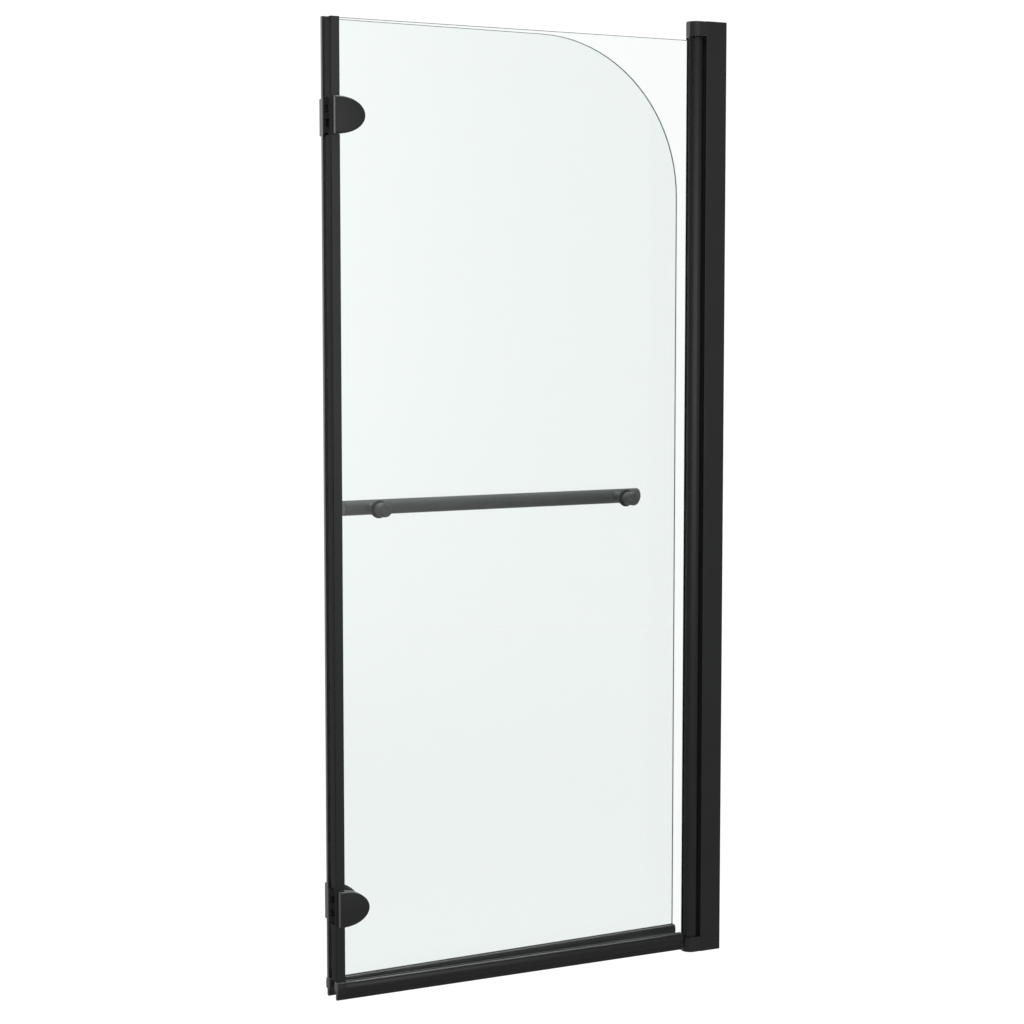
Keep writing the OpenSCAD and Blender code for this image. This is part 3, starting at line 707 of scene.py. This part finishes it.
@dataclass
class WallProfile(Assembly):
    """The fixed profile on the wall, its caps and its pivot pins."""

    dressed: dict[str, Finish] = field(
        default_factory=lambda: {
            "wall_channel": PROFILE,
            "slide_channel": PROFILE,
            "channel_screws": STEEL,
            "top_cap": CAP,
            "bottom_cap": CAP,
            "cap_screws": STEEL,
            "pivot_pins": STEEL,
            "pivot_seals": SKIRT,
        }
    )


@dataclass(frozen=True)
class RailShape:
    """Section of a bottom rail, in mm: a lens with its top and foot cut flat.

    belly is the height at which it is widest, and radius that of both its sides. The pane stands in
    the slot at the top. The drip seal sits in the groove at the foot: a narrow neck below a wide
    head.
    """

    half: float = 7.5
    radius: float = 18.75
    belly: float = 20.5
    top: float = 29.0
    foot: float = 12.5
    edge: float = 1.4
    slot_half: float = 2.5
    slot_foot: float = 18.5
    neck_half: float = 1.1
    neck: float = 1.6
    head_half: float = 2.0
    groove: float = 3.6

    def side(self) -> np.ndarray:
        """Builds the side that faces +b: a small round at the foot, the arc and a flat chamfer.

        The arc's centre is radius - half beyond the middle. The centre of the round, and of the arc
        that the chamfer cuts straight across, is edge inside the flat and radius - edge from the
        side's centre.

        Returns:
            Points of b and z, from the foot to the top.
        """
        lean = self.radius - self.half
        corners = []
        for z in (self.foot + self.edge, self.top - self.edge):
            b = math.sqrt((self.radius - self.edge) ** 2 - (z - self.belly) ** 2)
            corners.append(((b - lean, z), math.degrees(math.atan2(z - self.belly, b))))
        (low, low_turn), (high, high_turn) = corners
        flank = arc((-lean, self.belly), self.radius, low_turn, high_turn, steps=24)
        foot_round = arc(low, self.edge, -90, low_turn, steps=6)
        chamfer = arc(high, self.edge, high_turn, 90, steps=2)
        return np.concatenate([foot_round, flank[1:-1], chamfer])

    def outline(self, slotted: bool, drop: float) -> np.ndarray:
        """Builds the whole section, with the slot for the pane and the groove for the drip seal.

        Args:
            slotted: whether the pane's slot is cut.
            drop: how far the section is lowered.

        Returns:
            Points of b and z.
        """
        side = self.side()
        s, f, t = self.slot_half, self.slot_foot, self.top
        slot = np.array([(s, t), (s, f), (-s, f), (-s, t)]) if slotted else np.empty((0, 2))
        low, high = self.foot + self.neck, self.foot + self.groove
        n, h = self.neck_half, self.head_half
        half_groove = np.array([(n, self.foot), (n, low), (h, low), (h, high)])
        groove = np.concatenate([half_groove * (-1, 1), half_groove[::-1]])
        return np.concatenate([side, slot, side[::-1] * (-1, 1), groove]) - (0, drop)


@dataclass
class Panel(Assembly):
    """What both panels share: the bottom rail with its end plugs. Sizes are in mm.

    The rail runs from strip to rail_end, with a plug at each end; the near plug is slotted from
    pane_start on. drop is how much lower the rail is than the inner panel's.
    """

    side: str = "inner"
    place: Place = INNER_PLACE
    rail: RailShape = RailShape()
    strip: float = 12.5
    pane_start: float = 1.3
    rail_end: float = 557.7
    plug: float = 2.5
    plug_round: float = 1.1
    seam: float = 0.25
    drop: float = 0.0

    def build(self) -> None:
        """Dresses what is carried over and builds the rail and its plugs."""
        super().build()
        solid, slotted = (self.rail.outline(cut, self.drop) for cut in (False, True))
        plug_end = self.rail_end + self.plug
        bar = stations(self.strip, self.rail_end, self.seam, self.seam)
        tip = stations(0.0, self.pane_start, self.plug_round)
        near = stations(self.pane_start, self.strip, 0.0, self.seam)
        far = stations(self.rail_end, plug_end, self.seam, self.plug_round)
        runs = ((solid, tip), (slotted, near), (solid, far))
        plugs = [carry(outline, places, Run.ALONG) for outline, places in runs]
        self.put(self.side + "_rail", [carry(slotted, bar, Run.ALONG)], self.place, PROFILE)
        self.put(self.side + "_rail_plugs", plugs, self.place, CAP)


@dataclass
class InnerPanel(Panel):
    """The panel that turns on the wall profile.

    The tube and nose sizes are the pivot profile's: a round tube, and a nose that clamps the pane
    in its slot, down to core. The lip and fin sizes are the fold seal's; its fin is left out at the
    windows, where the hinges are.
    """

    body: str = "inner_panel"
    dressed: dict[str, Finish] = field(
        default_factory=lambda: {
            "pivot_bushes": CLEAR,
            "pivot_gasket": SEAL,
            "inner_glass": INNER_PANE,
            "inner_edge_channel": PROFILE,
            "inner_drip_seal": SKIRT,
        }
    )
    pivot_x: float = -45.0
    tube_r: float = 12.0
    nose_reach: float = 13.5
    nose_half: float = 5.2
    nose_corner: float = 1.0
    slot: float = 3.5
    core: float = 5.8
    tube_foot: float = 23.65
    tube_top: float = 1376.85
    lip: float = 0.5
    lip_front: float = 2.5
    fin_start: float = -4.5
    fin_end: float = -15.5
    fin_r: float = 0.75
    lip_foot: float = 29.5
    lip_top: float = 1373.5
    windows: tuple[Span, ...] = ((110.2, 161.8), (1214.2, 1265.8))

    def seal(self) -> list[np.ndarray]:
        """Builds the soft lip: a thin foot over the whole strip, and a fin between the hinges.

        Returns:
            Three lengths with the fin, and the foot's two lengths past the hinges.
        """
        t, r, front = self.lip, self.fin_r, self.lip_front
        foot = np.array([(-t, front), (-t, -front), (0.0, -front), (0.0, front)])
        tip = arc((r - t, self.fin_end), r, 180, 360, steps=9)
        back = [(2 * r - t, self.fin_start), (0.0, self.fin_start), (0.0, front), (-t, front)]
        fin = np.concatenate([tip, back])
        ends = [self.lip_foot, *(z for window in self.windows for z in window), self.lip_top]
        spans = zip(ends[::2], ends[1::2])
        lengths = [carry(fin, stations(low, high), Run.UP) for low, high in spans]
        return lengths + [carry(foot, stations(low, high), Run.UP) for low, high in self.windows]

    def build(self) -> None:
        """Builds the rail, the soft lip, and the round profile that turns on the wall's pins."""
        super().build()
        self.put("fold_seal", self.seal(), self.place, SEAL)
        r, n, h, c, s = self.tube_r, self.nose_reach, self.nose_half, self.nose_corner, self.slot
        meet = math.degrees(math.asin(h / r))
        corner = arc((-n + c, h - c), c, 90, 180, steps=6)
        nose = np.concatenate([corner, [(-n, s), (-self.core, s)]])
        tube = arc((0, 0), r, meet - 180, 180 - meet, steps=96)
        outline = np.concatenate([tube, nose, nose[::-1] * (1, -1)]) + (self.pivot_x, 0)
        places = stations(self.tube_foot, self.tube_top, self.seam, self.seam)
        self.put("pivot_profile", [carry(outline, places, Run.UP)], WALL_PLACE, PROFILE)


@dataclass
class OuterPanel(Panel):
    """The panel that folds, with its rounded top corner."""

    body: str = "outer_panel"
    side: str = "outer"
    place: Place = OUTER_PLACE
    rail_end: float = 575.0
    drop: float = 2.4

    def build(self) -> None:
        """Dresses what is carried over, with the pane's normal turned as the panel is."""
        turn = math.radians(REST_OPEN)
        across = (-math.sin(turn), math.cos(turn), 0.0)
        self.dressed = {
            "outer_glass": PaneGlass("outer_pane_glass", INNER_PANE.colour, Slot.GLASS, across),
            "outer_edge_channel": PROFILE,
            "outer_drip_seal": SKIRT,
        }
        super().build()


@dataclass
class FoldHinges(Assembly):
    """The two fold hinges with their D-shaped covers, pads, screws and pins. Sizes are in mm.

    half is half a cover's height. Its straight side is back from the panel's edge, and its half
    ellipse has its centre at nose and its tip at nose + reach. It runs from seat to face, off the
    pane's middle. The bosses round the screws go through the pane to boss_end.
    """

    dressed: dict[str, Finish] = field(
        default_factory=lambda: {
            "upper_inner_leaf": LEAF,
            "lower_inner_leaf": LEAF,
            "upper_outer_leaf": LEAF,
            "lower_outer_leaf": LEAF,
            "inner_hinge_pads": SEAL,
            "outer_hinge_pads": SEAL,
            "inner_hinge_screws": STEEL,
            "outer_hinge_screws": STEEL,
            "hinge_pins": PIN,
            "hinge_washers": SEAL,
        }
    )
    levels: dict[str, float] = field(default_factory=lambda: {"upper": 1240.0, "lower": 136.0})
    half: float = 25.5
    back: float = 2.0
    nose: float = 7.0
    reach: float = 39.0
    seat: float = 3.3
    face: float = 15.5
    rim: float = 2.4
    bevel: float = 1.0
    screw_a: float = 22.0
    screw_up: float = 11.0
    boss: float = 4.8
    boss_end: float = -2.45

    def cover(self, z: float) -> list[np.ndarray]:
        """Builds one cover, straight at the fold and half an ellipse beyond, with a round rim.

        Each ring is the outline drawn in: the half ellipse by the whole inset, the straight side by
        no more than the bevel.

        Args:
            z: the hinge's height.

        Returns:
            The cover and its two bosses through the pane.
        """
        places = stations(self.seat, self.face, 0.0, self.rim, steps=9)
        inset = places[:, 1, None]
        turn = np.linspace(-np.pi / 2, np.pi / 2, 64)[None]
        fold = self.back + np.minimum(inset, self.bevel)
        half = self.half - inset
        round_a = self.nose + (self.reach - inset) * np.cos(turn)
        a = np.concatenate([fold, round_a, fold], axis=1)
        up = np.concatenate([-half, half * np.sin(turn), half], axis=1)
        b = np.broadcast_to(places[:, 0, None], a.shape)
        boss = np.array([(self.boss_end, self.boss), (self.seat, self.boss)])
        bosses = [lathe(self.screw_a, z + way * self.screw_up, boss) for way in (-1, 1)]
        return [np.stack([a, b, up + z], axis=2), *bosses]

    def build(self) -> None:
        """Dresses the leaves and builds the covers on both panels."""
        super().build()
        for level, z in self.levels.items():
            for side, place in (("inner", INNER_PLACE), ("outer", OUTER_PLACE)):
                node, body = f"{level}_{side}_cover", side + "_panel"
                self.put(node, self.cover(z), place, HINGE, body=body)


@dataclass
class TowelBar(Assembly):
    """The bar on the outer panel, its posts and its knobs. Sizes are in mm.

    The bar runs from start to end at the height z, and out is how far it is from the pane's middle.
    posts are the posts' places along it, with the knobs opposite them.
    """

    body: str = "outer_panel"
    dressed: dict[str, Finish] = field(
        default_factory=lambda: {
            "bar_inserts": STEEL,
            "bar_studs": STEEL,
            "post_gaskets": GASKET,
        }
    )
    z: float = 693.2
    out: float = 40.0
    radius: float = 10.8
    start: float = 42.5
    end: float = 531.5
    plug: float = 1.5
    plug_round: float = 0.9
    seam: float = 0.2
    posts: Span = (83.5, 490.5)
    seat: float = 3.3
    foot_r: float = 13.0
    foot_rim: float = 1.5
    neck_r: float = 7.6
    flare: float = 17.0
    knob_r: float = 9.8
    knob_end: float = 22.5
    knob_rim: float = 2.5
    edge: float = 0.4

    def post(self, a: float) -> np.ndarray:
        """Builds one post: a round foot that narrows along an arc to the neck.

        The radius at b is neck_r + flare radius - the root of the flare radius squared less the
        square of how far b is from where the neck starts.

        Args:
            a: where it is along the pane.

        Returns:
            Its rings.
        """
        spread = self.foot_r - self.neck_r
        flare_r = (spread**2 + self.flare**2) / (2 * spread)
        b = np.linspace(self.seat + self.foot_rim, self.seat + self.foot_rim + self.flare, 24)
        narrowing = self.neck_r + flare_r - np.sqrt(flare_r**2 - (b[-1] - b) ** 2)
        corner = (self.seat + self.edge, self.foot_r - self.edge)
        foot = arc(corner, self.edge, 180, 90, steps=5)
        neck = [(self.out - self.radius / 2, self.neck_r)]
        return lathe(a, self.z, np.concatenate([foot, np.stack([b, narrowing], axis=1), neck]))

    def knob(self, a: float) -> np.ndarray:
        """Builds one knob in the gap between the panes, with a round rim.

        Args:
            a: where it is along the pane.

        Returns:
            Its rings.
        """
        corner = (-self.seat - self.edge, self.knob_r - self.edge)
        rim = (-self.knob_end + self.knob_rim, self.knob_r - self.knob_rim)
        near = arc(corner, self.edge, 0, 90, steps=5)
        far = arc(rim, self.knob_rim, 90, 180, steps=9)
        return lathe(a, self.z, np.concatenate([near, far]))

    def build(self) -> None:
        """Builds the bar, its end plugs, the posts and the knobs."""
        super().build()
        angle = np.linspace(0, 2 * np.pi, 96, endpoint=False)
        round_b = self.out + self.radius * np.cos(angle)
        circle = np.stack([round_b, self.z + self.radius * np.sin(angle)], axis=1)
        first, last = self.start + self.plug, self.end - self.plug
        tube, near, far = (
            carry(circle, stations(*ends), Run.ALONG)
            for ends in (
                (first, last, self.seam, self.seam),
                (self.start, first, self.plug_round, self.seam),
                (last, self.end, self.seam, self.plug_round),
            )
        )
        self.put("towel_bar", [tube], OUTER_PLACE, BAR)
        self.put("bar_end_plugs", [near, far], OUTER_PLACE, BAR_PLUG)
        self.put("bar_posts", [self.post(a) for a in self.posts], OUTER_PLACE, BAR)
        self.put("bar_knobs", [self.knob(a) for a in self.posts], OUTER_PLACE, BAR)


@dataclass(frozen=True)
class Fade:
    """A smooth change between two levels over a span, which never goes past its ends.

    axis is that of the direction that is looked in; without one, the span is a distance in metres.
    """

    span: Span
    levels: Span
    axis: str = ""

    def ends(self) -> dict[str, float]:
        """Returns the span and the levels as a Map Range node takes them."""
        names = ("From Min", "From Max", "To Min", "To Max")
        return dict(zip(names, self.span + self.levels))


@dataclass(frozen=True)
class Lamp:
    """A soft lamp that points at the middle of the screen. Sizes are in metres.

    glints says whether it shows as a highlight.
    """

    name: str
    place: Spot
    size: Span
    watts: float
    glints: bool = True
    aim: Spot = (-0.3, 0.0, 0.8)

    def hang(self) -> None:
        """Adds the lamp, turned about X and then Z so that it faces its aim."""
        light = bpy.data.lights.new(self.name, "AREA")
        light.shape, light.energy = "RECTANGLE", self.watts
        light.size, light.size_y = self.size
        lamp = bpy.data.objects.new(self.name, light)
        bpy.context.scene.collection.objects.link(lamp)
        lamp.location = self.place
        lamp.visible_glossy = self.glints
        x, y, z = (a - b for a, b in zip(self.aim, self.place))
        lamp.rotation_euler = (math.atan2(math.hypot(x, y), -z), 0.0, math.atan2(-x, y))


@dataclass(frozen=True)
class Studio:
    """Floor, lamps, world and camera. Sizes are in metres and angles in degrees.

    white is how bright the background is, room_level the plain light on the object, and ceiling
    what is mirrored from overhead. fades say how each part of what is mirrored changes with the
    direction.
    """

    floor_z: float = -0.25
    floor_half: float = 12.0
    floor_paint: str = "#f4f4f4"
    floor_glow: Fade = Fade((1.5, 5.0), (1.17, 1.06))
    floor_share: Fade = Fade((1.5, 5.0), (0.8, 1.0))
    room_level: float = 0.4
    white: float = 1.06
    ceiling: float = 2.2
    fades: dict[str, Fade] = field(
        default_factory=lambda: {
            "base": Fade((-0.25, 0.1), (0.17, 0.22), "Z"),
            "panel": Fade((-0.25, 0.0), (0.0, 0.62), "Z"),
            "panel_left": Fade((-0.8, -0.4), (0.0, 1.0), "X"),
            "panel_right": Fade((0.3, 0.5), (1.0, 0.0), "X"),
            "overhead": Fade((0.13, 0.33), (1.0, 0.1), "Z"),
            "behind": Fade((0.0, 0.6), (0.0, 1.0), "Y"),
            "behind_right": Fade((0.5, 0.7), (1.0, 0.0), "X"),
            "corner": Fade((0.15, 0.35), (0.0, 1.0), "X"),
            "corner_foot": Fade((0.1, 0.22), (0.0, 0.7), "Z"),
            "corner_top": Fade((0.34, 0.45), (1.0, 0.0), "Z"),
            "below": Fade((-0.3, -0.1), (0.6, 0.0), "Z"),
            "above": Fade((0.65, 0.85), (0.0, 1.0), "Z"),
        }
    )
    lamps: tuple[Lamp, ...] = (
        Lamp("key_lamp", (-0.3, -1.2, 5.2), (2.6, 1.4), 100.0),
        Lamp("fill_lamp", (3.4, -2.0, 2.6), (2.0, 2.0), 20.0, glints=False),
    )
    camera_place: Spot = (-1.6226, -2.6917, 0.9611)
    camera_yaw: float = 25.384
    camera_pitch: float = 4.453
    lens: float = 72.895
    sensor: float = 36.0
    shift_y: float = -0.03
    clip: Span = (0.05, 100.0)

    @staticmethod
    def mirrored(tree: Tree) -> bpy.types.Node:
        """Returns 1 for a ray that a surface has mirrored, also inside a pane.

        Args:
            tree: the material's or the world's tree.

        Returns:
            The node.
        """
        depth = tree.add("LightPath").outputs["Glossy Depth"]
        return tree.add("Math", {0: depth, 1: 0.5}, operation="GREATER_THAN")

    @staticmethod
    def direct(tree: Tree) -> bpy.types.Node:
        """Returns 1 for rays that show the background: the camera's, also those through glass.

        Args:
            tree: the material's or the world's tree.

        Returns:
            The node.
        """
        path = tree.add("LightPath").outputs
        rays = {0: path["Is Camera Ray"], 1: path["Is Transmission Ray"]}
        return tree.add("Math", rays, operation="ADD")

    def floor(self) -> None:
        """Lays the floor: pale, white to the camera with the object's shadow kept, never mirrored.

        Its own glow and the share of it change from near to far with the distance from the object,
        so that no horizon shows.
        """
        h, z = self.floor_half, self.floor_z
        mesh = bpy.data.meshes.new("floor")
        mesh.from_pydata([(-h, -h, z), (h, -h, z), (h, h, z), (-h, h, z)], [], [(0, 1, 2, 3)])
        made = bpy.data.materials.new("pale_floor")
        tree = new_tree(made)
        place = tree.add("TexCoord").outputs["Object"]
        away = tree.add("VectorMath", {0: place}, operation="LENGTH").outputs["Value"]
        strength, far = (
            tree.add("MapRange", {"Value": away, **fade.ends()}, interpolation_type="SMOOTHSTEP")
            for fade in (self.floor_glow, self.floor_share)
        )
        paint = tree.add("BsdfDiffuse", {"Color": linear(self.floor_paint)})
        glow = tree.add("Emission", {"Color": WHITE, "Strength": strength})
        share = tree.add("Math", {0: self.direct(tree), 1: far}, operation="MULTIPLY")
        both = tree.add("MixShader", {0: share, 1: paint, 2: glow})
        gone = tree.add("BsdfTransparent")
        kept = tree.add("MixShader", {0: self.mirrored(tree), 1: both, 2: gone})
        tree.add("OutputMaterial", {"Surface": kept})
        mesh.materials.append(made)
        floor = bpy.data.objects.new("floor", mesh)
        bpy.context.scene.collection.objects.link(floor)

    def world(self) -> None:
        """Fills the room with plain light: white where it is seen, and dimmer where it is mirrored.

        A mirrored ray finds a dim room in front of the object, with a soft panel at about the
        height of the object, a bright ceiling, and behind the object a white backdrop that is
        dimmer low down and in one corner.
        """
        world = bpy.data.worlds.new("room")
        bpy.context.scene.world = world
        tree = new_tree(world)
        way = tree.add("SeparateXYZ", {"Vector": tree.add("TexCoord").outputs["Generated"]}).outputs
        part = {}
        for name, fade in self.fades.items():
            inputs = {"Value": way[fade.axis], **fade.ends()}
            part[name] = tree.add("MapRange", inputs, interpolation_type="SMOOTHSTEP")
        for name, *others in (
            ("panel", "panel_left", "panel_right"),
            ("behind", "behind_right"),
            ("corner", "corner_foot", "corner_top"),
        ):
            for other in others:
                both = {0: part[name], 1: part[other]}
                part[name] = tree.add("Math", both, operation="MULTIPLY")
        room = tree.add("Math", {0: part["base"], 1: part["panel"]})
        front = tree.add("Math", {0: room, 1: part["overhead"]}, operation="MULTIPLY")
        dimmed = tree.add("Math", {0: part["corner"], 1: part["below"]})
        backdrop = tree.add("Math", {0: 1.0, 1: dimmed}, operation="SUBTRACT")
        mirror = self.mirrored(tree)
        seen = {0: self.direct(tree), 1: mirror}
        share = tree.add("Math", seen, operation="SUBTRACT", use_clamp=True)
        around = tree.add("Mix", {0: part["behind"], 2: front, 3: backdrop}, data_type="FLOAT")
        turned = tree.add("Mix", {0: part["above"], 2: around, 3: self.ceiling}, data_type="FLOAT")
        lit = tree.add("Mix", {0: mirror, 2: self.room_level, 3: turned}, data_type="FLOAT")
        level = tree.add("Mix", {0: share, 2: lit, 3: self.white}, data_type="FLOAT")
        back = tree.add("Background", {"Color": WHITE, "Strength": level})
        tree.add("OutputWorld", {"Surface": back})

    def camera(self) -> None:
        """Sets up the camera at the photograph's viewing angle."""
        data = bpy.data.cameras.new("camera")
        data.sensor_width, data.lens, data.shift_y = self.sensor, self.lens, self.shift_y
        data.clip_start, data.clip_end = self.clip
        camera = bpy.data.objects.new("camera", data)
        bpy.context.scene.collection.objects.link(camera)
        camera.location = self.camera_place
        tilt, turn = math.radians(90 - self.camera_pitch), -math.radians(self.camera_yaw)
        camera.rotation_euler = (tilt, 0.0, turn)
        bpy.context.scene.camera = camera

    def build(self) -> None:
        """Builds the floor, the light and the camera."""
        self.floor()
        self.world()
        for lamp in self.lamps:
            lamp.hang()
        self.camera()
        bpy.context.scene.view_settings.view_transform = "Standard"


def main() -> None:
    """Builds each sub-assembly in order and reports it."""
    logging.basicConfig(level=logging.INFO, format="%(name)s: %(message)s")
    for part in (WallProfile(), InnerPanel(), OuterPanel(), FoldHinges(), TowelBar(), Studio()):
        part.build()
        log.info("built %s", type(part).__name__)


if __name__ == "__main__":
    main()
